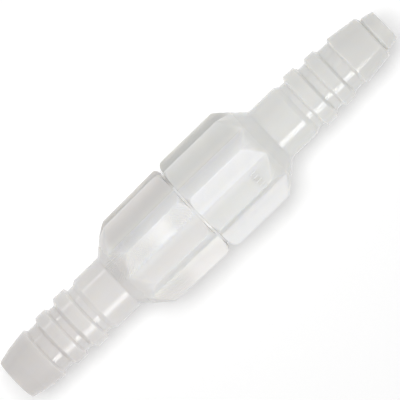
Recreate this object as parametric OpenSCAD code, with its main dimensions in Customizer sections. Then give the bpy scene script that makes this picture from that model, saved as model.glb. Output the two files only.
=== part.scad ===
// Inline check valve for soft hose: two moulded halves screwed together around a drop-in cartridge.
// The valve axis is +X and flow runs towards +X. The centre of the inlet mouth is the origin, +Z is up.
// Profiles are lists of [radius, distance], where distance runs from the joint between the halves.

/* [Body halves] */
// Across the spanner flats: the body is two squares of this side, turned 45 degrees to each other
across_flats = 14; // [13.8:0.1:15]
// Turn of each half's flats away from the level position, opposite ways for the two halves
flats_turn = 19.55; // [0:0.05:22.5]
// Gap between the halves, at its foot
joint_gap = 0.44; // [0.3:0.02:0.8]
// Radius of the collar that fills the foot of the gap
collar_r = 7.9; // [7.6:0.05:8.1]
// Length along the axis of the rounding of the ridges beside the gap
ridge_round_len = 1.15; // [0.6:0.05:1.4]
// Depth of that rounding
ridge_round_depth = 1.75; // [1:0.05:1.8]
// Length of the full ridges of the outlet half, from the joint
outlet_ridge_len = 12.9; // [11:0.1:13.4]
// Length of the full ridges of the inlet half, from the joint
inlet_ridge_len = 12.75; // [11:0.05:13.4]
// Where both cones reach the hosetails, from the joint
cone_end = 17.85; // [17:0.05:19]

/* [Hosetails] */
// Radius of the plain tube beside the body
tube_r = 5.4; // [5:0.05:5.5]
// Radius of the ring nearest the body, the largest one, which a hose grips
ring_1_r = 5.62; // [5.4:0.02:5.8]
// Radius of the second ring
ring_2_r = 5.32; // [5:0.01:5.4]
// Radius of the end barb at its large end
barb_r = 5.16; // [4.8:0.02:5.3]
// Radius of the grooves between the rings
groove_r = 4.7; // [4.3:0.05:4.8]
// Foot of the outlet's first ring, from the joint
outlet_ring_at = 25.7; // [25:0.1:27]
// Foot of the inlet's first ring, from the joint
inlet_ring_at = 25.5; // [25:0.1:27]
// Length of the inlet half, from the joint to its mouth
inlet_len = 42.3; // [41.5:0.1:46]
// Length of the outlet half up to the large end of its nose
outlet_barb_len = 41.9; // [41.5:0.1:46]
// Length of the undercut and the nose on the outlet's tip
nose_len = 2.9; // [2:0.1:4]
// Radius of the nose at its large end
nose_r = 3.55; // [3.2:0.05:3.8]

/* [Passages] */
// Radius of the inlet passage
inlet_bore_r = 2.8; // [2.4:0.1:3]
// Radius of the outlet passage at its mouth
outlet_bore_r = 2.2; // [1.8:0.1:2.3]
// Radius of the outlet passage behind the mouth
outlet_tube_bore_r = 3; // [2.6:0.1:3.2]

/* [Joint thread] */
// Radius over the thread of the inlet half's spigot
thread_crest_r = 6.35; // [6.2:0.05:6.5]
// Depth of the thread
thread_depth = 0.4; // [0.2:0.05:0.45]
// Pitch of the thread
thread_pitch = 1; // [0.8:0.05:1]
// Radial clearance between the spigot and its socket
thread_clearance = 0.07; // [0.03:0.01:0.1]

/* [Cartridge] */
// Outer radius of the cartridge
cartridge_r = 4.7; // [4.5:0.05:4.75]
// Radius of the seat's opening
seat_r = 2.5; // [2.2:0.1:2.7]
// Travel of the poppet from shut to fully open
poppet_travel = 2.6; // [1.5:0.1:2.8]
// Radius of the poppet's stem
stem_r = 0.88; // [0.7:0.02:0.9]
// Radial clearance of the stem in its guide
stem_clearance = 0.07; // [0.03:0.01:0.1]
// Diameter of the spring wire
wire_d = 0.28; // [0.2:0.02:0.32]
// Turns of the spring, with one closed turn at each end
spring_turns = 7; // [5:1:8]

/* [Hidden] */
$fn = 96;

ridge_r = across_flats / sqrt(2);
past = 0.5;                 // how far a cutting or trimming shape runs past what it cuts
trim = 0.05;                // how far a rounding runs past the ridge that it rounds
arc_steps = 6;
barb_rise = 0.5;            // axial length of the steep side of a ring
ring_land = 2.2;
ring_fall = 0.55;           // axial length of the chamfer on a ring's far side
ring_2_from_1 = 4.65;
barb_from_1 = 9.85;
tube_fall_from = 2.1;       // where the tube starts to fall, before the first ring's foot
tube_fall_to = 1.2;         // where that fall ends
first_groove_rise = 0.13;   // how much shallower the groove before the first ring is
inlet_tip_r = 4.1;
outlet_tip_r = 4.3;
tip_round = 0.35;
undercut_r = 3.4;
undercut_len = 0.4;
nose_rise = 0.3;            // axial length of the nose's back face
nose_tip_r = 3;

thread_at = 1.1;            // plain length of the spigot before its thread
thread_turns = 4;
tooth_foot = 0.1;           // foot and crest of one tooth, as parts of the pitch
tooth_crest = 0.4;
thread_relief = 0.3;        // plain length in the socket before and after its thread
spigot_len = 6.2;
socket_len = 7.1;
wall_gap = 0.08;            // cartridge to pocket, radial
cartridge_len = 10.6;
cartridge_from = socket_len - cartridge_len;   // upstream face, from the joint
pocket_r = cartridge_r + wall_gap;
flange_r = 5.3;
flange_gap = 0.06;
flange_len = 1.2;
shoulder_r = 4;             // opening that both halves leave behind the cartridge's faces
inlet_flare_len = 9.5;
outlet_chamber_len = 3.4;
outlet_cone_len = 5;
mouth_cone_len = 4.5;       // where the outlet passage narrows towards its mouth
mouth_len = 4.3;

o_ring_groove_at = 0.5;     // from the cartridge's upstream face
o_ring_groove_len = 1.1;
o_ring_groove_r = 3.8;
o_ring_gap = 0.02;          // rest clearance of each sealing ring

seat_face_len = 1.2;        // plain length of the seat's opening
housing_bore_r = 3.9;
guide_seat_len = 2.1;
guide_r = 4.18;
guide_gap = 0.02;
guide_ring_wall = 0.78;
spoke_count = 4;
spoke_w = 0.9;
spoke_len = 1.8;
hub_r = 1.6;

seal_gap = 0.05;            // seal to seat, measured along the radius, when shut
seal_len = 1;
seal_lip_len = 0.8;
seal_bore_r = 1.6;
head_r = 3.1;
head_len = 0.8;
boss_r = 1.45;
boss_len = 1.3;
stem_len = 5.8;             // stem past the boss
pin_r = 0.7;
pin_len = 0.8;
cap_r = 2.1;
cap_len = 1.2;
fit_gap = 0.02;             // between pieces pressed or snapped together

seal_at = cartridge_from + seat_face_len;      // front face of the seal
head_at = seal_at + seal_len;
boss_at = head_at + head_len;
stop_at = boss_at + boss_len + poppet_travel;  // face of the guide's hub that stops the poppet
guide_at = socket_len - guide_seat_len;
spokes_at = socket_len - spoke_len;

spring_r = 2.05;            // mean radius of the coil
spring_from = boss_at + wire_d / 2;
spring_to = spokes_at - wire_d / 2;
closed_pitch = wire_d + 0.03;
steps_per_turn = 16;
wire_sides = 8;

mark_count = 4;             // plain raised strokes across one flat of the outlet half
mark_size = [1.5, 0.25, 0.16];
mark_pitch = 0.82;
mark_at = [11.4, 5];        // middle of the strokes, from the joint and from the middle of the flat

natural = [0.9, 0.9, 0.88];
acetal = [0.94, 0.94, 0.92];
silicone = [0.82, 0.82, 0.78];

// A solid turned about the valve axis from [radius, distance] points
module turned(profile)
    rotate([0, 90, 0])
        rotate_extrude()
            polygon(profile);

// The two squares of the body, as a prism from the joint outwards
module flats(length, turn)
    rotate([0, 90, 0])
        linear_extrude(length)
            for (square_turn = [0, 45])
                rotate(square_turn + turn)
                    square(across_flats, center = true);

// Quarter of an ellipse from the gap's wall out to the ridge
function gap_round() =
    [for (i = [0:arc_steps])
        let (a = 90 * i / arc_steps)
        [ridge_r + trim - ridge_round_depth * (1 - sin(a)),
         joint_gap / 2 + ridge_round_len * (1 - cos(a))]];

// Outline of a half around its flats: gap wall, rounding and the cone down to the tube
function body_outline(ridge_len) =
    let (slope = (ridge_r - tube_r) / (cone_end - ridge_len))
    concat(
        [[0, joint_gap / 2]],
        gap_round(),
        [[ridge_r + past, joint_gap / 2 + ridge_round_len],
         [ridge_r + past, ridge_len - past / slope],
         [tube_r, cone_end],
         [0, cone_end]]);

// Steep side, land and chamfer of one ring, whose foot is at the distance given
function ring(foot, r) = [
    [groove_r, foot],
    [r, foot + barb_rise],
    [r, foot + barb_rise + ring_land],
    [groove_r, foot + barb_rise + ring_land + ring_fall]];

// Outline of a hosetail from the body to the tip of its end barb
function tail_outline(ring_at, tip_at, tip_r) = concat(
    [[0, cone_end - past], [tube_r, cone_end - past],
     [tube_r, ring_at - tube_fall_from], [groove_r + first_groove_rise, ring_at - tube_fall_to]],
    ring(ring_at, ring_1_r),
    ring(ring_at + ring_2_from_1, ring_2_r),
    [[groove_r, ring_at + barb_from_1],
     [barb_r, ring_at + barb_from_1 + barb_rise],
     [tip_r, tip_at - tip_round],
     [tip_r - tip_round, tip_at],
     [0, tip_at]]);

// Ridges of the joint thread, drawn as closed rings
function thread_outline(clearance) =
    let (root = thread_crest_r - thread_depth + clearance, crest = thread_crest_r + clearance)
    [for (
        turn = [0:thread_turns - 1],
        p = [[root, tooth_foot], [crest, tooth_crest], [crest, 1 - tooth_crest], [root, 1 - tooth_foot]])
        [p[0], thread_at + (turn + p[1]) * thread_pitch]];

// Round ring of a given section on the valve axis
module o_ring(centre_r, centre_x, section_r)
    translate([centre_x, 0, 0])
        rotate([0, 90, 0])
            rotate_extrude()
                translate([centre_r, 0])
                    circle(section_r, $fn = 32);

// Places what is drawn from the joint outwards
module at_joint()
    translate([inlet_len, 0, 0])
        children();

module inlet_shell() {
    mirror([1, 0, 0]) {
        intersection() {
            flats(cone_end, flats_turn);
            turned(body_outline(inlet_ridge_len));
        }
        turned(tail_outline(inlet_ring_at, inlet_len, inlet_tip_r));
    }
    turned([
        [0, -joint_gap / 2 - trim], [collar_r, -joint_gap / 2 - trim],
        [collar_r, joint_gap / 2], [0, joint_gap / 2]]);
    turned(concat(
        [[0, -past], [thread_crest_r - thread_depth, -past]],
        thread_outline(0),
        [[thread_crest_r - thread_depth, spigot_len], [0, spigot_len]]));
}

module inlet_body()
    color(natural)
        at_joint()
            difference() {
                inlet_shell();
                turned([
                    [0, -inlet_len - past],
                    [inlet_bore_r, -inlet_len - past],
                    [inlet_bore_r, cartridge_from - inlet_flare_len],
                    [shoulder_r, cartridge_from],
                    [pocket_r, cartridge_from],
                    [pocket_r, socket_len - flange_len],
                    [flange_r + flange_gap, socket_len - flange_len],
                    [flange_r + flange_gap, spigot_len + past],
                    [0, spigot_len + past]]);
            }

module outlet_shell() {
    intersection() {
        flats(cone_end, -flats_turn);
        turned(body_outline(outlet_ridge_len));
    }
    turned(tail_outline(outlet_ring_at, outlet_barb_len, outlet_tip_r));
    turned([
        [0, outlet_barb_len - past],
        [undercut_r, outlet_barb_len - past],
        [undercut_r, outlet_barb_len + undercut_len],
        [nose_r, outlet_barb_len + undercut_len + nose_rise],
        [nose_tip_r, outlet_barb_len + nose_len],
        [0, outlet_barb_len + nose_len]]);
    outlet_marks();
}

// Plain strokes standing on one upper flat of the outlet half
module outlet_marks()
    rotate([180 - flats_turn, 0, 0])
        for (i = [0:mark_count - 1])
            translate([mark_at[0], mark_at[1] + (i - (mark_count - 1) / 2) * mark_pitch, -across_flats / 2])
                cube(mark_size, center = true);

module outlet_body() {
    socket_r = thread_crest_r + thread_clearance;
    mouth_at = outlet_barb_len + nose_len;
    color(natural)
        at_joint()
            difference() {
                outlet_shell();
                turned(concat(
                    [[0, -past], [socket_r, -past], [socket_r, thread_at - thread_relief]],
                    thread_outline(thread_clearance),
                    [[socket_r, thread_at + thread_turns * thread_pitch + thread_relief],
                     [socket_r, socket_len],
                     [shoulder_r, socket_len],
                     [shoulder_r, socket_len + outlet_chamber_len],
                     [outlet_tube_bore_r, socket_len + outlet_chamber_len + outlet_cone_len],
                     [outlet_tube_bore_r, mouth_at - mouth_len - mouth_cone_len],
                     [outlet_bore_r, mouth_at - mouth_len],
                     [outlet_bore_r, mouth_at + past],
                     [0, mouth_at + past]]));
            }
}

module body_o_ring() {
    section_r = (socket_len - spigot_len) / 2 - o_ring_gap;
    color(silicone)
        at_joint()
            o_ring((flange_r + thread_crest_r + thread_clearance) / 2, (socket_len + spigot_len) / 2,
                section_r);
}

module cartridge_housing()
    color(acetal)
        at_joint()
            difference() {
                turned([
                    [0, cartridge_from],
                    [cartridge_r, cartridge_from],
                    [cartridge_r, cartridge_from + o_ring_groove_at],
                    [o_ring_groove_r, cartridge_from + o_ring_groove_at],
                    [o_ring_groove_r, cartridge_from + o_ring_groove_at + o_ring_groove_len],
                    [cartridge_r, cartridge_from + o_ring_groove_at + o_ring_groove_len],
                    [cartridge_r, socket_len - flange_len],
                    [flange_r, socket_len - flange_len],
                    [flange_r, socket_len],
                    [0, socket_len]]);
                turned([
                    [0, cartridge_from - past],
                    [seat_r, cartridge_from - past],
                    [seat_r, seal_at],
                    [housing_bore_r, seal_at + housing_bore_r - seat_r],
                    [housing_bore_r, guide_at],
                    [guide_r + guide_gap, guide_at],
                    [guide_r + guide_gap, socket_len + past],
                    [0, socket_len + past]]);
            }

module cartridge_o_ring() {
    section_r = (pocket_r - o_ring_groove_r) / 2 - o_ring_gap;
    color(silicone)
        at_joint()
            o_ring((pocket_r + o_ring_groove_r) / 2,
                cartridge_from + o_ring_groove_at + o_ring_groove_len / 2, section_r);
}

module cartridge_guide()
    color(acetal)
        at_joint()
            difference() {
                union() {
                    turned([
                        [guide_r - guide_ring_wall, guide_at], [guide_r, guide_at],
                        [guide_r, socket_len], [guide_r - guide_ring_wall, socket_len]]);
                    turned([[0, stop_at], [hub_r, stop_at], [hub_r, socket_len], [0, socket_len]]);
                    for (i = [0:spoke_count / 2 - 1])
                        rotate([180 * i * 2 / spoke_count, 0, 0])
                            translate([spokes_at, -guide_r + guide_ring_wall / 2, -spoke_w / 2])
                                cube([spoke_len, 2 * guide_r - guide_ring_wall, spoke_w]);
                }
                turned([
                    [0, stop_at - past], [stem_r + stem_clearance, stop_at - past],
                    [stem_r + stem_clearance, socket_len + past], [0, socket_len + past]]);
            }

module poppet()
    color(acetal)
        at_joint()
            turned([
                [0, seal_at - pin_len],
                [pin_r, seal_at - pin_len],
                [pin_r, seal_at],
                [seal_bore_r - fit_gap, seal_at],
                [seal_bore_r - fit_gap, head_at],
                [head_r, head_at],
                [head_r, boss_at],
                [boss_r, boss_at],
                [boss_r, boss_at + boss_len],
                [stem_r, boss_at + boss_len],
                [stem_r, boss_at + boss_len + stem_len],
                [0, boss_at + boss_len + stem_len]]);

module poppet_seal()
    color(silicone)
        at_joint()
            turned([
                [seal_bore_r, seal_at],
                [seat_r - seal_gap, seal_at],
                [seat_r - seal_gap + seal_lip_len, seal_at + seal_lip_len],
                [seat_r - seal_gap + seal_lip_len, head_at],
                [seal_bore_r, head_at]]);

// Rounded nose on the front of the poppet, which holds the seal on
module poppet_cap()
    color(acetal)
        at_joint()
            difference() {
                turned(concat(
                    [[0, seal_at], [cap_r, seal_at]],
                    [for (i = [1:arc_steps])
                        let (a = 90 * i / arc_steps)
                        [cap_r * cos(a), seal_at - cap_len * sin(a)]]));
                turned([
                    [0, seal_at + past], [pin_r + fit_gap, seal_at + past],
                    [pin_r + fit_gap, seal_at - pin_len], [0, seal_at - pin_len]]);
            }

// Distance along the spring after so many turns, closed at both ends
function spring_x(turns) =
    let (open_pitch = (spring_to - spring_from - 2 * closed_pitch) / (spring_turns - 2))
    turns < 1 ? spring_from + turns * closed_pitch
    : turns > spring_turns - 1 ? spring_to - (spring_turns - turns) * closed_pitch
    : spring_from + closed_pitch + (turns - 1) * open_pitch;

// Rings of points around the wire, one after another along the coil
function wire_points() =
    [for (i = [0:spring_turns * steps_per_turn], j = [0:wire_sides - 1])
        let (
            a = 360 * i / steps_per_turn,
            b = 360 * j / wire_sides,
            r = spring_r + wire_d / 2 * cos(b))
        [spring_x(i / steps_per_turn) + wire_d / 2 * sin(b), r * cos(a), r * sin(a)]];

function wire_faces() =
    let (last = spring_turns * steps_per_turn * wire_sides)
    concat(
        [[for (j = [0:wire_sides - 1]) j]],
        [for (i = [0:spring_turns * steps_per_turn - 1], j = [0:wire_sides - 1])
            let (here = i * wire_sides, next = here + wire_sides, k = (j + 1) % wire_sides)
            [here + j, next + j, next + k, here + k]],
        [[for (j = [wire_sides - 1:-1:0]) last + j]]);

module spring()
    color("silver")
        at_joint()
            polyhedron(wire_points(), wire_faces());

inlet_body();
outlet_body();
body_o_ring();
cartridge_housing();
cartridge_o_ring();
cartridge_guide();
poppet();
poppet_seal();
poppet_cap();
spring();
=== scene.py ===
"""Looks of the inline check valve: moulded halves as fine meshes, the pieces inside, studio and camera."""

import math

import bpy
import numpy as np
from mathutils import Matrix, Vector

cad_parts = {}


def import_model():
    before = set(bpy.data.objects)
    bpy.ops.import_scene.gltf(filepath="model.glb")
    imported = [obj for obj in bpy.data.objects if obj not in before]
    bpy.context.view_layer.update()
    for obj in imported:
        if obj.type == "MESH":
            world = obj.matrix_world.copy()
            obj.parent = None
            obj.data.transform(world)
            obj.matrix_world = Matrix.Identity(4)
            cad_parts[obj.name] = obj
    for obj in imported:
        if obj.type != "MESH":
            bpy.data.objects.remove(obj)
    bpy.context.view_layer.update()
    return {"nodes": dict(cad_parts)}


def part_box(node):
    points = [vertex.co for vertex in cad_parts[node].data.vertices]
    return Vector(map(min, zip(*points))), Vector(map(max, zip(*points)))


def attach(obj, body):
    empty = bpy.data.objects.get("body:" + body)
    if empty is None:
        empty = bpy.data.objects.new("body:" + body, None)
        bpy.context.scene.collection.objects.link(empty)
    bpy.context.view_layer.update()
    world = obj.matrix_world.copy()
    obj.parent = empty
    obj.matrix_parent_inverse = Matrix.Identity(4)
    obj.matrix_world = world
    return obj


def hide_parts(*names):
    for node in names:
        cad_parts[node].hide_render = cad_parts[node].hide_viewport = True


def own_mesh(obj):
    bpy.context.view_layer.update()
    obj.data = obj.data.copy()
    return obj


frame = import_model()

MM = 0.001
FLOOR_Z = min(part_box("inlet_body")[0].z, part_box("outlet_body")[0].z)

# ---- Sizes that repeat the design, in millimetres; distances run from the joint outwards ----
ACROSS_FLATS = 14.0
FLATS_TURN = math.radians(19.55)
RIDGE_R = ACROSS_FLATS / math.sqrt(2)
JOINT_GAP = 0.44
JOINT_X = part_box("outlet_body")[0].x - JOINT_GAP / 2 * MM     # plane where the two halves meet, in metres
COLLAR_R = 8.06                           # foot of the gap between the halves
OUTLET_FACE_R = 7.3                       # first ring of the mesh on the outlet half's end
ROUND_LEN, ROUND_DEPTH = 1.15, 1.75       # rounding of the ridges beside the gap
CONE_END = 17.85
TUBE_R = 5.4
RING_1_R, RING_2_R = 5.62, 5.32
GROOVE_R = 4.7
OUTLET_LEN = 44.8
NOSE_AT, NOSE_R = 42.6, 3.55              # where the undercut behind the nose ends, and the radius there
INLET_BORE_R, OUTLET_BORE_R, TUBE_BORE_R = 2.8, 2.2, 3.0
SOCKET_LEN = 7.1
SPIGOT_LEN = 6.2
THREAD_CREST_R = 6.35
THREAD_DEPTH = 0.4
THREAD_CLEARANCE = 0.07
THREAD_AT = 1.1
THREAD_TURNS = 4
CARTRIDGE_LEN = 10.6
POCKET_R = 4.78
FLANGE_LEN = 1.2
FLANGE_SEAT_R = 5.36
SHOULDER_R = 4.0
MARK_AT = (11.4, 5.0)                     # middle of the strokes, from the joint and from the flat's middle
STEPS_PER_FLAT = 15                       # mesh columns across each flat, from valley to ridge
FLATS = 16
FLAT_ANGLE = 2 * math.pi / FLATS
VALLEY_SLOPE = math.tan(FLAT_ANGLE)       # place of a valley on its flat, in parts of the flat's distance
FLAT_WIDTH = ACROSS_FLATS * (1 - VALLEY_SLOPE) / 2

# What differs between the halves. "fans" are the centres of the ripples near to and far from the joint, on
# four flats in turn, each as distance, place across and closeness. The sixteen numbers of each half are
# painted light and shade: how much paler or darker each flat is drawn, in place of the shadow that a ridge
# casts on the flat beside it, the light that glows through the ridges and the gloss on the flats that face
# the side lamp. "tones" is how much paler or darker each flat is drawn, by eye: the cause of the difference
# on the real valve isn't known.
FAR = 60                                  # a centre that far away leaves its flat without ripples
NO_FANS = (FAR, FAR, 1, FAR, FAR, 1)

OUTLET = {
    "node": "outlet_body", "side": 1, "turn": -FLATS_TURN, "ridge_len": 12.9, "ring_at": 25.7,
    "ring_falls": (3.2, 7.6), "barb_at": 9.8, "barb_r": 5.1, "tip_at": 41.9, "tip_r": 4.3,
    "ridge_drop": 0.0, "sink": 0.03, "fans": [NO_FANS] * 4,
    # painted light and shade: how much paler or darker each flat is drawn
    "painted_light_and_shade": [0, 0, 0, 0, -0.17, 0, -0.10, 0.16, 0.12, 0.04, 0, 0.10, 0, 0, 0, 0],
}
INLET = {
    "node": "inlet_body", "side": -1, "turn": FLATS_TURN, "ridge_len": 12.75, "ring_at": 25.5,
    "ring_falls": (3.4, 7.7), "barb_at": 9.7, "barb_r": 5.24, "tip_at": 42.3, "tip_r": 4.1,
    "ridge_drop": 0.025, "sink": 0.1,
    # painted light and shade: how much paler or darker each flat is drawn
    "painted_light_and_shade": [0, 0, -0.12, 0, -0.11, 0.15, 0.10, 0.05, 0.10, -0.01, 0, 0, 0, 0, 0, 0],
    "fans": [NO_FANS, (FAR, FAR, 1, 9.3, -7.3, 0.75), (4.9, -0.1, 1, 11.1, -0.9, 1.1), NO_FANS],
}


# ---- Outlines: lists of (distance, radius) ----
def rounded(points, steps=5):
    """Points (distance, radius, corner radius) as a line with its corners rounded."""
    line = []
    for i, (x, r, corner) in enumerate(points):
        here = np.array([x, r])
        if corner == 0 or i in (0, len(points) - 1):
            line.append(here)
            continue
        before = np.array(points[i - 1][:2]) - here
        after = np.array(points[i + 1][:2]) - here
        room = 0.45 * min(np.linalg.norm(before), np.linalg.norm(after))
        before, after = before / np.linalg.norm(before), after / np.linalg.norm(after)
        half_angle = math.acos(max(-1, min(1, float(before @ after)))) / 2
        reach = min(corner / math.tan(half_angle), room)
        start, end = here + before * reach, here + after * reach
        for k in range(steps + 1):
            t = k / steps
            line.append((1 - t) ** 2 * start + 2 * t * (1 - t) * here + t * t * end)
    return np.array(line)


def divided(line, step, edge=0.04):
    """The line with its long stretches cut into pieces no longer than step. Each stretch starts and ends with
    a short piece, which keeps its shading flat."""
    out = [line[0]]
    for a, b in zip(line[:-1], line[1:]):
        length = np.linalg.norm(b - a)
        if length > 4 * edge:
            n = math.ceil((length - 2 * edge) / step)
            places = [edge + (length - 2 * edge) * k / n for k in range(n + 1)] + [length]
            out += [a + (b - a) * place / length for place in places]
        else:
            out.append(b)
    return np.array(out)


def smooth_min(a, b, k):
    """The smaller of two values, with the change from one to the other rounded over k."""
    h = np.clip(k - np.abs(a - b), 0, None) / k
    return np.minimum(a, b) - h * h * k / 4


def star(angle):
    """Radius of the two squares, with slightly rounded ridges and valleys; angle 0 is a ridge."""
    sharpness, valley = 110, 0.2

    def square(a):
        sides = np.abs(np.cos(a)) ** sharpness + np.abs(np.sin(a)) ** sharpness
        return ACROSS_FLATS / 2 * sides ** (-1 / sharpness)

    return -smooth_min(-square(angle + math.pi / 4), -square(angle), valley)


def smooth_step(t, start, end):
    """0 up to start, 1 from end on, with a smooth rise between them."""
    k = np.clip((t - start) / (end - start), 0, 1)
    return k * k * (3 - 2 * k)


def across_flat(angle):
    """Place across a flat, 0 at the valley and 1 at the ridge."""
    from_ridge = np.abs((angle + FLAT_ANGLE) % (2 * FLAT_ANGLE) - FLAT_ANGLE)
    return np.clip((np.tan(math.pi / 4 - from_ridge) - VALLEY_SLOPE) / (1 - VALLEY_SLOPE), 0, 1)


def eased(k):
    """Places 0 to 1 drawn closer together at both ends."""
    return 0.75 * (0.5 - 0.5 * np.cos(math.pi * k)) + 0.25 * k


def hosetail(half):
    """Outline of the hosetail from the end of the cone to the tip."""
    foot = half["ring_at"]
    fall_1, fall_2 = half["ring_falls"]
    barb = foot + half["barb_at"]
    return [
        (foot - 2.05, TUBE_R, 0.25), (foot - 1.15, GROOVE_R + 0.14, 0.25),
        (foot - 0.05, GROOVE_R + 0.12, 0.18),
        (foot + 0.38, RING_1_R, 0.14), (foot + 2.7, RING_1_R, 0.3), (foot + fall_1, GROOVE_R, 0.25),
        (foot + 4.6, GROOVE_R, 0.18), (foot + 5.02, RING_2_R, 0.14),
        (foot + 7.15, RING_2_R, 0.3), (foot + fall_2, GROOVE_R - 0.06, 0.25),
        (barb, GROOVE_R - 0.08, 0.18), (barb + 0.42, half["barb_r"], 0.14),
    ]


def cone_r(half, x):
    """Radius of the cone that trims the ridges towards the hosetail."""
    slope = (RIDGE_R - TUBE_R) / (CONE_END - half["ridge_len"])
    return TUBE_R + (CONE_END - x) * slope


def inner_outline(half):
    """Bore of a half from the tip back to the joint."""
    if half["side"] > 0:
        tip = OUTLET_LEN
        return [
            (tip, OUTLET_BORE_R, 0.15), (tip - 4.3, OUTLET_BORE_R, 0.8), (tip - 8.8, TUBE_BORE_R, 0.8),
            (SOCKET_LEN + 8.4, TUBE_BORE_R, 0.8), (SOCKET_LEN + 3.4, SHOULDER_R, 0.8),
            (SOCKET_LEN, SHOULDER_R, 0.1),
            (SOCKET_LEN, THREAD_CREST_R + THREAD_CLEARANCE, 0.15),
        ]
    front = CARTRIDGE_LEN - SOCKET_LEN
    return [
        (half["tip_at"], INLET_BORE_R, 0.15), (front + 9.5, INLET_BORE_R, 0.8), (front, SHOULDER_R, 0.1),
        (front, POCKET_R, 0.1), (FLANGE_LEN - SOCKET_LEN, POCKET_R, 0.05),
        (FLANGE_LEN - SOCKET_LEN, FLANGE_SEAT_R, 0.05), (-SPIGOT_LEN, FLANGE_SEAT_R, 0.1),
    ]


def thread(x, angle, clearance):
    """Radius of the screw thread, a helix of one millimetre pitch that fades out at its ends."""
    phase = (x - THREAD_AT - angle / (2 * math.pi)) % 1
    tooth = np.clip((0.4 - np.abs(phase - 0.5)) / 0.3, 0, 1)
    into = np.clip((x - THREAD_AT) / 0.5, 0, 1)
    out = np.clip((THREAD_AT + THREAD_TURNS - x) / 0.5, 0, 1)
    crest = THREAD_CREST_R + clearance
    if clearance:
        return crest - THREAD_DEPTH * (1 - tooth) * into * out
    return crest - THREAD_DEPTH * (1 - tooth * into * out)


# ---- Meshes ----
def flats_detail(half, x, angle):
    """Shrinkage of the thick flats, as small radial moves in millimetres."""
    across = across_flat(angle)
    number = np.floor(angle / FLAT_ANGLE) % FLATS
    along = np.clip((x - JOINT_GAP / 2) / (half["ridge_len"] - JOINT_GAP / 2), 0, 1)
    sunk = np.sin(math.pi * across) * np.sin(math.pi * along) ** 0.6 * (0.8 + 0.2 * np.sin(2.4 * number))
    wave = 0.2 * np.sin(2.1 * x + number) * np.sin(math.pi * across)
    return -half["sink"] * (sunk + wave * np.sin(math.pi * along)) - half["ridge_drop"] * RIDGE_R * along


def angles():
    """Mesh columns, closer together at the ridges and valleys."""
    steps = eased(np.arange(STEPS_PER_FLAT) / STEPS_PER_FLAT)
    return np.concatenate([(i + steps) * FLAT_ANGLE for i in range(FLATS)])


def joint_face(half, edge, rim):
    """Rows (distance, radii) over the end of a half at the joint, out to the rim."""
    if half["side"] > 0:
        foot = OUTLET_FACE_R
        rows = [(edge, foot)]
    else:
        foot = COLLAR_R
        rows = [(-edge, foot - 0.5), (-edge, foot - 0.06), (0.05 - edge, foot), (edge - 0.02, foot)]
    return rows + [(edge, foot + (rim - foot) * t) for t in (0.1, 0.4, 0.7)]


def body_line(half, edge):
    """What trims the ridges, as (distance, radius): the rounding beside the gap, then the cone."""
    line = [(edge + ROUND_LEN * (1 - math.cos(k)), RIDGE_R - ROUND_DEPTH * (1 - math.sin(k)))
            for k in np.linspace(0.04, math.pi / 2, 14)]
    ridge_end = half["ridge_len"]
    for x in np.arange(line[-1][0] + 0.3, ridge_end - 0.9, 0.4):
        line.append((x, cone_r(half, x)))
    for x in np.arange(ridge_end - 0.8, CONE_END - 0.35, 0.1):
        line.append((x, cone_r(half, x)))
    return line


def tail_line(half, start):
    """Outline from a point on the cone along the hosetail to the bore."""
    line = [(*start, 0), (CONE_END, TUBE_R, 0.5)] + hosetail(half)
    if half["side"] > 0:
        undercut_r = NOSE_R - 0.13
        return line + [
            (41.75, 4.32, 0.2), (41.95, 4.05, 0.1), (42.15, undercut_r, 0.12), (42.35, undercut_r, 0.1),
            (NOSE_AT, NOSE_R, 0.12), (OUTLET_LEN, NOSE_R - 0.5, 0.25), (OUTLET_LEN, OUTLET_BORE_R, 0.15),
        ]
    tip = half["tip_at"]
    return line + [(39.5, 4.72, 2.5), (tip, half["tip_r"] - 0.05, 0.35), (tip, INLET_BORE_R, 0.15)]


def thread_rows(half, edge, a):
    """Rows (distance, radii) of the socket's or the spigot's thread, from inside back to the joint."""
    places = np.arange(THREAD_AT - 0.2, THREAD_AT + THREAD_TURNS + 0.21, 0.11)[::-1]
    if half["side"] > 0:
        rows = [(x, thread(x, a, THREAD_CLEARANCE)) for x in places]
        return rows + [(edge, THREAD_CREST_R + THREAD_CLEARANCE)]
    root = THREAD_CREST_R - THREAD_DEPTH
    rows = [(-SPIGOT_LEN, root - 0.1), (0.1 - SPIGOT_LEN, root)]
    return rows + [(-x, thread(x, a, 0)) for x in places] + [(-edge, root)]


def half_rings(half):
    """Distances and radii of the mesh once round the wall, a row for each ring, and its columns' angles."""
    a = angles()
    flat = star(a)
    edge = JOINT_GAP / 2
    rows = joint_face(half, edge, smooth_min(flat, RIDGE_R - ROUND_DEPTH, 0.2))
    body = body_line(half, edge)
    for x, r in body:
        rows.append((x, smooth_min(flat + flats_detail(half, x, a), min(r, RIDGE_R + 0.6), 0.2)))
    rows += list(divided(rounded(tail_line(half, body[-1])), 0.5)[1:])
    rows += list(divided(rounded(inner_outline(half)), 1.6)[1:])
    rows += thread_rows(half, edge, a)
    x = np.array([np.full_like(a, distance) for distance, r in rows])
    r = np.array([r * np.ones_like(a) for distance, r in rows])
    return x, r, a


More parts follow.
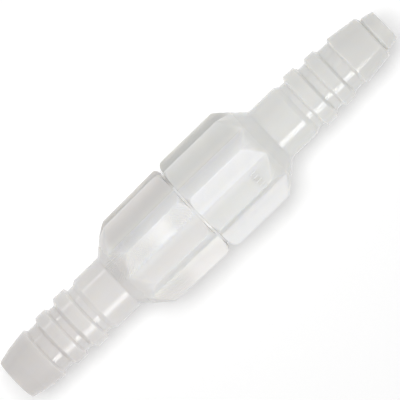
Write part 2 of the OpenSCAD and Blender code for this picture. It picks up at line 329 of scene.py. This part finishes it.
def skin_maps(mesh, half, x, r, columns):
    """Flat maps in tenths of a metre: place along and across each flat, and place from the two centres of its
    ripples. Each flat's painted light and shade, how much paler or darker it is drawn, is an attribute."""
    rows = len(x)
    i, j = np.meshgrid(np.arange(rows), np.arange(columns), indexing="ij")
    corner_i = np.stack([i, (i + 1) % rows, (i + 1) % rows, i], axis=-1).reshape(-1, 4)
    step = np.stack([j, j, j + 1, j + 1], axis=-1).reshape(-1, 4) % STEPS_PER_FLAT
    step = np.where(np.array([False, False, True, True]) & (step == 0), STEPS_PER_FLAT, step)
    flat = np.repeat(j.reshape(-1, 1) // STEPS_PER_FLAT, 4, axis=1)
    corner_j = np.stack([j, j, j + 1, j + 1], axis=-1).reshape(-1, 4) % columns
    along = x[corner_i, corner_j]
    k = eased(step / STEPS_PER_FLAT)
    from_ridge = np.where(flat % 2 == 0, k, 1 - k) * FLAT_ANGLE
    across = (np.tan(math.pi / 4 - from_ridge) - VALLEY_SLOPE) / (1 - VALLEY_SLOPE) * FLAT_WIDTH
    on_body = (along > JOINT_GAP / 2) & (along < CONE_END) & (r[corner_i, corner_j] > TUBE_R + 0.1)
    outside = on_body & (corner_i >= 4)
    centres = np.array([half["fans"][n % 4] for n in range(FLATS)])[flat]
    if half["side"] > 0:
        order = [3, 2, 1, 0]
        along, across, outside, centres = (v[:, order] for v in (along, across, outside, centres))
    maps = {"skin": np.stack([along, across], axis=-1)}
    for name, at in (("fan_near", 0), ("fan_far", 3)):
        away = np.stack([along - centres[..., at], across - centres[..., at + 1]], axis=-1)
        rippled = outside & (centres[..., at] < FAR)
        maps[name] = np.where(rippled[..., None], away * centres[..., at + 2, None], float(FAR))
    for name, values in maps.items():
        layer = mesh.uv_layers.new(name=name)
        layer.data.foreach_set("uv", (values * 0.01).reshape(-1).astype(np.float32))
    # each flat's painted light and shade, as a factor on its colour
    painted_shading = mesh.attributes.new("painted_shading", "FLOAT", "CORNER")
    painted_shading.data.foreach_set("value", (1 + np.array(half["painted_light_and_shade"])[flat]).reshape(-1).astype(np.float32))


def new_object(name, vertices, faces):
    """A piece with smooth shading, apart from its sharp edges."""
    mesh = bpy.data.meshes.new(name)
    mesh.from_pydata(vertices.tolist(), [], [list(f) for f in faces])
    mesh.update()
    mesh.polygons.foreach_set("use_smooth", [True] * len(mesh.polygons))
    mesh.set_sharp_from_angle(angle=math.radians(38))
    piece = bpy.data.objects.new(name, mesh)
    bpy.context.scene.collection.objects.link(piece)
    return piece


def ring_faces(rows, columns, flip):
    """Quads between neighbouring rows and columns, closed both ways."""
    i, j = np.meshgrid(np.arange(rows), np.arange(columns), indexing="ij")
    i2, j2 = (i + 1) % rows, (j + 1) % columns
    quads = np.stack([i * columns + j, i2 * columns + j, i2 * columns + j2, i * columns + j2], axis=-1)
    quads = quads.reshape(-1, 4)
    return quads[:, ::-1] if flip else quads


def half_piece(half, name):
    """One half of the valve as a single closed mesh."""
    x, r, a = half_rings(half)
    turn = half["turn"] + a
    place = np.stack([half["side"] * x, r * np.sin(turn), -r * np.cos(turn)], axis=-1)
    points = np.array([JOINT_X, 0, 0]) + place * MM
    faces = ring_faces(len(x), len(a), half["side"] > 0)
    piece = new_object(name, points.reshape(-1, 3), faces)
    skin_maps(piece.data, half, x, r, len(a))
    return piece


def flow_marks():
    """Plain raised strokes on one flat of the outlet half, each a low rounded bar."""
    count, pitch, length, width, height = 4, 0.82, 1.4, 0.26, 0.05
    along, lateral, sunk = MARK_AT[0], MARK_AT[1], 0.04
    around = np.linspace(0, 2 * math.pi, 13)[:-1]
    ends = np.linspace(-1, 1, 13)
    points, faces = [], []
    for i in range(count):
        middle = lateral + (i - (count - 1) / 2) * pitch
        base = len(points)
        for s in ends:
            swell = math.sqrt(max(0.0, 1 - abs(s) ** 6)) + 0.02
            points += [(along + s * length / 2, middle + math.cos(b) * width / 2 * swell,
                        ACROSS_FLATS / 2 - sunk + math.sin(b) * (height + sunk) * swell) for b in around]
        n = len(around)
        for p in range(len(ends) - 1):
            for q in range(n):
                low, high = base + p * n, base + (p + 1) * n
                faces.append([low + q, high + q, high + (q + 1) % n, low + (q + 1) % n])
        faces.append([base + q for q in range(n)])
        faces.append([base + (len(ends) - 1) * n + q for q in range(n - 1, -1, -1)])
    points = np.array(points)
    turn = math.pi - FLATS_TURN
    y = points[:, 1] * math.cos(turn) + points[:, 2] * math.sin(turn)
    z = points[:, 1] * math.sin(turn) - points[:, 2] * math.cos(turn)
    place = np.array([JOINT_X, 0, 0]) + np.stack([points[:, 0], y, z], axis=-1) * MM
    return new_object("flow_marks", place, faces)


def spring_coil():
    """Compression spring with one closed turn at each end, between the poppet and the guide."""
    wire_r, coil_r, turns, closed = 0.14, 2.05, 7, 0.31
    start, end = -0.36, 5.16
    steps, sides = 44 * turns, 12
    t = np.linspace(0, turns, steps + 1)
    open_pitch = (end - start - 2 * closed) / (turns - 2)
    rise = closed + (open_pitch - closed) * smooth_step(t, 0.85, 1.25) * smooth_step(turns - t, 0.85, 1.25)
    x = np.concatenate([[0], np.cumsum((rise[1:] + rise[:-1]) / 2 * np.diff(t))])
    x = start + x * (end - start) / x[-1]
    a, b = np.meshgrid(2 * math.pi * t, np.arange(sides) * 2 * math.pi / sides, indexing="ij")
    r = coil_r + wire_r * np.cos(b)
    place = np.stack([x[:, None] + wire_r * np.sin(b), r * np.cos(a), r * np.sin(a)], axis=-1)
    points = np.array([JOINT_X, 0, 0]) + place * MM
    faces = []
    for here in range(0, steps * sides, sides):
        there = here + sides
        for j in range(sides):
            beside = (j + 1) % sides
            faces.append([here + j, there + j, there + beside, here + beside])
    faces.append(list(range(sides)))
    faces.append([steps * sides + j for j in range(sides - 1, -1, -1)])
    return new_object("spring_coil", points.reshape(-1, 3), faces)


# ---- Materials ----
TAIL_AT = (0.150, 0.185)                  # where the body passes into the hosetail, in tenths of a metre
LIGHT_REACH = (1.0, 0.95, 0.85)           # how far red, green and blue light spread inside the polymer


def shader(name):
    material = bpy.data.materials.new(name)
    material.use_nodes = True
    tree = material.node_tree
    return material, tree, tree.nodes["Principled BSDF"]


def own_place(tree):
    """Place in the piece's own coordinates, in metres."""
    return tree.nodes.new("ShaderNodeTexCoord").outputs["Object"]


def flat_map(tree, name):
    node = tree.nodes.new("ShaderNodeUVMap")
    node.uv_map = name
    return node.outputs["UV"]


def noise(tree, coordinates, scale, detail=3.0):
    node = tree.nodes.new("ShaderNodeTexNoise")
    node.inputs["Scale"].default_value = scale
    node.inputs["Detail"].default_value = detail
    tree.links.new(coordinates, node.inputs["Vector"])
    return node.outputs["Fac"]


def mapped(tree, value, low, high):
    """A noise value stretched to run from low to high."""
    node = tree.nodes.new("ShaderNodeMapRange")
    node.inputs["From Min"].default_value = 0.3
    node.inputs["From Max"].default_value = 0.7
    node.inputs["To Min"].default_value = low
    node.inputs["To Max"].default_value = high
    tree.links.new(value, node.inputs["Value"])
    return node.outputs["Result"]


def blended(tree, value, first, second):
    """First colour where the value is 0 and second where it is 1; the first is three numbers or a socket."""
    node = tree.nodes.new("ShaderNodeMix")
    node.data_type = "RGBA"
    if isinstance(first, tuple):
        node.inputs["A"].default_value = (*first, 1)
    else:
        tree.links.new(first, node.inputs["A"])
    node.inputs["B"].default_value = (*second, 1)
    tree.links.new(value, node.inputs["Factor"])
    return node.outputs["Result"]


def bumped(tree, bsdf, layers):
    """Layers of (height value, strength, distance in metres) stacked into the normal."""
    normal = None
    for height, strength, distance in layers:
        node = tree.nodes.new("ShaderNodeBump")
        node.inputs["Strength"].default_value = strength
        node.inputs["Distance"].default_value = distance
        tree.links.new(height, node.inputs["Height"])
        if normal:
            tree.links.new(normal, node.inputs["Normal"])
        normal = node.outputs["Normal"]
    tree.links.new(normal, bsdf.inputs["Normal"])


def faded(tree, value, start, end):
    """One where the value is past end, none where it is short of start."""
    node = tree.nodes.new("ShaderNodeMapRange")
    node.interpolation_type = "SMOOTHSTEP"
    node.inputs["From Min"].default_value = start
    node.inputs["From Max"].default_value = end
    tree.links.new(value, node.inputs["Value"])
    return node.outputs["Result"]


def product(tree, first, second):
    node = tree.nodes.new("ShaderNodeMath")
    node.operation = "MULTIPLY"
    tree.links.new(first, node.inputs[0])
    tree.links.new(second, node.inputs[1])
    return node.outputs["Value"]


def between(tree, factor, first, second):
    """First where the factor is 0 and second where it is 1; each is a number or a socket."""
    node = tree.nodes.new("ShaderNodeMix")
    for socket, value in (("A", first), ("B", second)):
        if isinstance(value, float):
            node.inputs[socket].default_value = value
        else:
            tree.links.new(value, node.inputs[socket])
    tree.links.new(factor, node.inputs["Factor"])
    return node.outputs["Result"]


def vector_step(tree, operation, vector):
    node = tree.nodes.new("ShaderNodeVectorMath")
    node.operation = operation
    tree.links.new(vector, node.inputs[0])
    return node


def from_axis(tree, place):
    """Distance from the valve's axis."""
    crossways = vector_step(tree, "MULTIPLY", place)
    crossways.inputs[1].default_value = (0, 1, 1)
    return vector_step(tree, "LENGTH", crossways.outputs["Vector"]).outputs["Value"]


def body_colour(tree, place, along, across, on_body, light, dark, tip):
    """Cloudy colour; painted light makes the valleys paler, each flat gets its painted light and shade, and
    painted shade darkens it towards the tip's colour.
    """
    plain = blended(tree, mapped(tree, noise(tree, place, 140.0), 0, 1), light, dark)
    # Painted light: the valleys are drawn paler, to cancel the shade in their crevices.
    valleys_painted_light = product(tree, faded(tree, across, 0.016, 0.0), on_body)
    # Painted light and shade of each flat, on the body only, fading out before the hosetail.
    painted_shading = tree.nodes.new("ShaderNodeAttribute")
    painted_shading.attribute_name = "painted_shading"
    with_painted_shading = vector_step(tree, "SCALE", blended(tree, valleys_painted_light, plain, (0.94, 0.93, 0.9)))
    strength = between(tree, faded(tree, along, 0.135, 0.155), painted_shading.outputs["Fac"], 1.0)
    tree.links.new(strength, with_painted_shading.inputs["Scale"])
    # Painted shade: the colour darkens towards the tip, for light that falls off towards the ends of the
    # valve.
    return blended(tree, faded(tree, along, 0.24, 0.40), with_painted_shading.outputs["Vector"], tip)


def body_roughness(tree, place, along, on_body, roughness):
    """Duller on the flats than on the hosetails, and polished in the grooves."""
    plain = mapped(tree, noise(tree, place, 1100.0), roughness - 0.03, roughness + 0.05)
    on_flats = product(tree, on_body, faded(tree, along, 0.002, 0.004))
    in_grooves = faded(tree, from_axis(tree, place), (GROOVE_R + 0.25) * MM, (GROOVE_R + 0.15) * MM)
    return between(tree, in_grooves, between(tree, on_flats, plain, 0.36), 0.08)


def body_depth(tree, along, across):
    """How far light goes inside: little in the valleys, more at the ridges, and none at the joint."""
    on_flats = between(tree, faded(tree, across, 0.004, 0.036), 0.3 * MM, 2.5 * MM)
    depth = between(tree, faded(tree, along, *TAIL_AT), on_flats, 0.9 * MM)
    return product(tree, depth, faded(tree, along, -0.002, 0.02))


def ripples(tree, uv, shown):
    """Rings of fine waves round a point, where shown is 1."""
    wave = tree.nodes.new("ShaderNodeTexWave")
    wave.wave_type, wave.rings_direction = "RINGS", "SPHERICAL"
    wave.inputs["Scale"].default_value = 92.0
    wave.inputs["Distortion"].default_value = 1.6
    wave.inputs["Detail"].default_value = 1.0
    wave.inputs["Detail Scale"].default_value = 0.5
    tree.links.new(flat_map(tree, uv), wave.inputs["Vector"])
    return product(tree, wave.outputs["Fac"], shown)


def moulded_body(name, light, dark, tip, roughness):
    """Natural polymer of the halves: translucent, with orange peel and ripples on the flats."""
    material, tree, bsdf = shader(name)
    place = own_place(tree)
    parts = tree.nodes.new("ShaderNodeSeparateXYZ")
    tree.links.new(flat_map(tree, "skin"), parts.inputs["Vector"])
    along, across = parts.outputs["X"], parts.outputs["Y"]
    on_body = faded(tree, along, 0.175, 0.145)

    colour = body_colour(tree, place, along, across, on_body, light, dark, tip)
    tree.links.new(colour, bsdf.inputs["Base Color"])
    tree.links.new(body_roughness(tree, place, along, on_body, roughness), bsdf.inputs["Roughness"])
    bsdf.inputs["IOR"].default_value = 1.45
    tree.links.new(body_depth(tree, along, across), bsdf.inputs["Subsurface Scale"])
    bsdf.inputs["Subsurface Weight"].default_value = 1.0
    bsdf.inputs["Subsurface Radius"].default_value = LIGHT_REACH

    swell = product(tree, noise(tree, place, 650.0, 1.0), on_body)
    peel = product(tree, noise(tree, place, 2300.0, 2.0), on_body)
    near = ripples(tree, "fan_near", faded(tree, along, 0.058, 0.032))
    far = ripples(tree, "fan_far", faded(tree, along, 0.06, 0.11))
    grain = noise(tree, place, 1500.0, 2.0)
    bumped(tree, bsdf, [
        (swell, 1.0, 0.05 * MM), (peel, 1.0, 0.03 * MM), (near, 1.0, 0.06 * MM), (far, 1.0, 0.06 * MM),
        (grain, 1.0, 0.004 * MM),
    ])
    return material


def moulded(name, light, dark, roughness, subsurface, grain, radius):
    """Moulded opaque polymer: cloudy colour, a little soft light inside and a fine orange-peel skin."""
    material, tree, bsdf = shader(name)
    place = own_place(tree)
    cloud = mapped(tree, noise(tree, place, 180.0), 0, 1)
    tree.links.new(blended(tree, cloud, light, dark), bsdf.inputs["Base Color"])
    rough = mapped(tree, noise(tree, place, 900.0), roughness - 0.05, roughness + 0.07)
    tree.links.new(rough, bsdf.inputs["Roughness"])
    if subsurface:
        bsdf.inputs["Subsurface Weight"].default_value = subsurface
        bsdf.inputs["Subsurface Radius"].default_value = LIGHT_REACH
        bsdf.inputs["Subsurface Scale"].default_value = radius * MM
    bumped(tree, bsdf, [
        (noise(tree, place, 2600.0, 2.0), grain, 0.01 * MM),
        (noise(tree, place, 700.0, 1.0), grain, 0.02 * MM),
    ])
    return material


def rubber(name, light, dark):
    """Silicone: cloudy, dull and a little translucent."""
    material, tree, bsdf = shader(name)
    place = own_place(tree)
    cloud = mapped(tree, noise(tree, place, 400.0), 0, 1)
    tree.links.new(blended(tree, cloud, light, dark), bsdf.inputs["Base Color"])
    tree.links.new(mapped(tree, noise(tree, place, 1500.0), 0.45, 0.62), bsdf.inputs["Roughness"])
    bsdf.inputs["Subsurface Weight"].default_value = 0.3
    bsdf.inputs["Subsurface Scale"].default_value = 0.6 * MM
    bumped(tree, bsdf, [(noise(tree, place, 6000.0, 2.0), 0.3, 0.01 * MM)])
    return material


def wire(name):
    """Drawn stainless wire: cloudy bright metal with a fine grain."""
    material, tree, bsdf = shader(name)
    place = own_place(tree)
    cloud = mapped(tree, noise(tree, place, 900.0), 0, 1)
    tree.links.new(blended(tree, cloud, (0.70, 0.69, 0.67), (0.60, 0.60, 0.60)), bsdf.inputs["Base Color"])
    bsdf.inputs["Metallic"].default_value = 1.0
    tree.links.new(mapped(tree, noise(tree, place, 5000.0), 0.18, 0.34), bsdf.inputs["Roughness"])
    bumped(tree, bsdf, [(noise(tree, place, 9000.0, 2.0), 0.2, 0.005 * MM)])
    return material


def paint(piece, material):
    piece.data.materials.clear()
    piece.data.materials.append(material)


# ---- Pieces ----
# The tip colours are painted shade: darker than the body, for light that falls off towards the ends.
outlet_skin = moulded_body(
    "natural_polymer_outlet", light=(0.865, 0.865, 0.845), dark=(0.85, 0.85, 0.83), tip=(0.82, 0.815, 0.795),
    roughness=0.1)
inlet_skin = moulded_body(
    "natural_polymer_inlet", light=(0.86, 0.845, 0.83), dark=(0.845, 0.825, 0.81), tip=(0.77, 0.745, 0.73),
    roughness=0.2)
stroke_skin = moulded("natural_polymer_strokes", (0.97, 0.97, 0.96), (0.95, 0.95, 0.94), 0.15, 0.0, 0.3, 1.0)
acetal = moulded("white_acetal", (0.90, 0.90, 0.88), (0.86, 0.86, 0.84), 0.38, 0.4, 0.6, 0.8)
poppet_acetal = moulded("poppet_acetal", (0.86, 0.88, 0.88), (0.82, 0.85, 0.85), 0.34, 0.4, 0.6, 0.8)
ring_silicone = rubber("ring_silicone", (0.72, 0.72, 0.69), (0.66, 0.66, 0.63))
seal_silicone = rubber("seal_silicone", (0.68, 0.69, 0.68), (0.62, 0.63, 0.62))
spring_wire = wire("spring_wire")

for half, skin, name in ((OUTLET, outlet_skin, "outlet_half"), (INLET, inlet_skin, "inlet_half")):
    piece = half_piece(half, name)
    paint(piece, skin)
    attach(piece, "valve_body")
    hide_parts(half["node"])

marks = flow_marks()
paint(marks, stroke_skin)
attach(marks, "valve_body")

for node, material in (
    ("body_o_ring", ring_silicone), ("cartridge_o_ring", ring_silicone), ("cartridge_housing", acetal),
    ("cartridge_guide", acetal), ("poppet", poppet_acetal), ("poppet_cap", poppet_acetal),
    ("poppet_seal", seal_silicone),
):
    paint(frame["nodes"][node], material)

coil = spring_coil()
paint(coil, spring_wire)
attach(coil, "valve_body")
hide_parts("spring")
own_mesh(coil)


# ---- Studio: lamps about the valve, some of them seen only as reflections and some never as reflections ----
def around(angle_deg, distance):
    """A place at an angle round the valve's axis, from straight up towards -Y."""
    a = math.radians(angle_deg)
    return Vector((JOINT_X, -math.sin(a) * distance, math.cos(a) * distance))


def only(name, things, state):
    """A collection for light linking: just these things, or everything but these."""
    chosen = bpy.data.collections.new(name)
    for thing in things:
        chosen.objects.link(thing)
    for entry in chosen.collection_objects:
        entry.light_linking.link_state = state
    return chosen


def lamp(name, place, size, watts):
    """A rectangular lamp that points at the middle of the valve."""
    data = bpy.data.lights.new(name, "AREA")
    data.shape = "RECTANGLE"
    data.size, data.size_y = size
    data.energy = watts
    light = bpy.data.objects.new(name, data)
    light.location = place
    aim = Vector((JOINT_X, 0, 0)) - Vector(place)
    light.rotation_euler = aim.to_track_quat("-Z", "Y").to_euler()
    bpy.context.scene.collection.objects.link(light)
    return light


def floor():
    """Plain pale floor that gives a little light of its own, which keeps it white."""
    material, tree, bsdf = shader("pale_floor")
    place = own_place(tree)
    cloud = mapped(tree, noise(tree, place, 6.0), 0, 1)
    tree.links.new(blended(tree, cloud, (0.80, 0.80, 0.80), (0.79, 0.79, 0.79)), bsdf.inputs["Base Color"])
    bsdf.inputs["Roughness"].default_value = 0.8
    bsdf.inputs["Emission Color"].default_value = (1, 1, 1, 1)
    bsdf.inputs["Emission Strength"].default_value = 0.3
    reach = 3.0
    mesh = bpy.data.meshes.new("floor")
    corners = [(-reach, -reach, 0), (reach, -reach, 0), (reach, reach, 0), (-reach, reach, 0)]
    mesh.from_pydata(corners, [], [(0, 1, 2, 3)])
    mesh.materials.append(material)
    sheet = bpy.data.objects.new("floor", mesh)
    sheet.location = (0, 0, FLOOR_Z)
    bpy.context.scene.collection.objects.link(sheet)
    return sheet


def world(strength):
    """White room of the given strength; seen directly, beyond the floor, it is as bright as the floor."""
    scene_world = bpy.data.worlds.new("studio")
    scene_world.use_nodes = True
    nodes, links = scene_world.node_tree.nodes, scene_world.node_tree.links
    background = nodes["Background"]
    background.inputs["Color"].default_value = (1, 1, 1, 1)
    path = nodes.new("ShaderNodeLightPath")
    level = nodes.new("ShaderNodeMapRange")
    level.inputs["To Min"].default_value = strength
    level.inputs["To Max"].default_value = 1.0
    links.new(path.outputs["Is Camera Ray"], level.inputs["Value"])
    links.new(level.outputs["Result"], background.inputs["Strength"])
    bpy.context.scene.world = scene_world


ground = floor()
world(0.36)
overhead = lamp("overhead", around(-12, 0.25), (0.2, 0.13), 0.24)
overhead.visible_glossy = False
right_top = lamp("right_top", around(26, 0.25), (0.2, 0.13), 0.14)
right_top.visible_glossy = False
side = lamp("side", around(44, 0.25), (0.19, 0.09), 0.38)
side.visible_diffuse = False
far_side = lamp("far_side", around(-76, 0.25) - Vector((0.038, 0, 0)), (0.045, 0.02), 0.03)
far_side.visible_diffuse = False
ground_light = lamp("ground_light", around(-17, 0.6), (0.3, 0.17), 2.1)
ground_light.light_linking.receiver_collection = only("ground_only", [ground], "INCLUDE")
for light in (overhead, right_top, side, far_side):
    light.light_linking.receiver_collection = only(light.name + "_skips", [ground], "EXCLUDE")
bpy.context.scene.view_settings.view_transform = "Standard"

# ---- Camera: almost straight down, with a long lens ----
VIEW_TILT_Y, VIEW_TILT_X = math.radians(9.95), math.radians(3)
AXIS_IN_VIEW = math.radians(43.96)        # the valve's axis above the horizontal of the picture
DISTANCE = 0.83
VIEW_WIDTH = 0.068                        # width of the view at the valve
OFF_MIDDLE = (0.86, 1.3)                  # middle of the view from the middle of the joint, right and up
towards = Vector((0, math.sin(VIEW_TILT_Y), math.cos(VIEW_TILT_Y))) * math.cos(VIEW_TILT_X)
towards += Vector((math.sin(VIEW_TILT_X), 0, 0))
towards.normalize()
along = Vector((1, 0, 0))
along = (along - towards * along.dot(towards)).normalized()
upper_left = towards.cross(along)
right = along * math.cos(AXIS_IN_VIEW) - upper_left * math.sin(AXIS_IN_VIEW)
up = along * math.sin(AXIS_IN_VIEW) + upper_left * math.cos(AXIS_IN_VIEW)
middle = Vector((JOINT_X, 0, 0)) + right * OFF_MIDDLE[0] * MM + up * OFF_MIDDLE[1] * MM

camera_data = bpy.data.cameras.new("camera")
camera_data.sensor_width = 36
camera_data.lens = camera_data.sensor_width * DISTANCE / VIEW_WIDTH
camera_data.clip_start, camera_data.clip_end = 0.01, 20
camera = bpy.data.objects.new("camera", camera_data)
turned = Matrix((right, up, towards)).transposed().to_4x4()
camera.matrix_world = Matrix.Translation(middle + towards * DISTANCE) @ turned
bpy.context.scene.collection.objects.link(camera)
bpy.context.scene.camera = camera
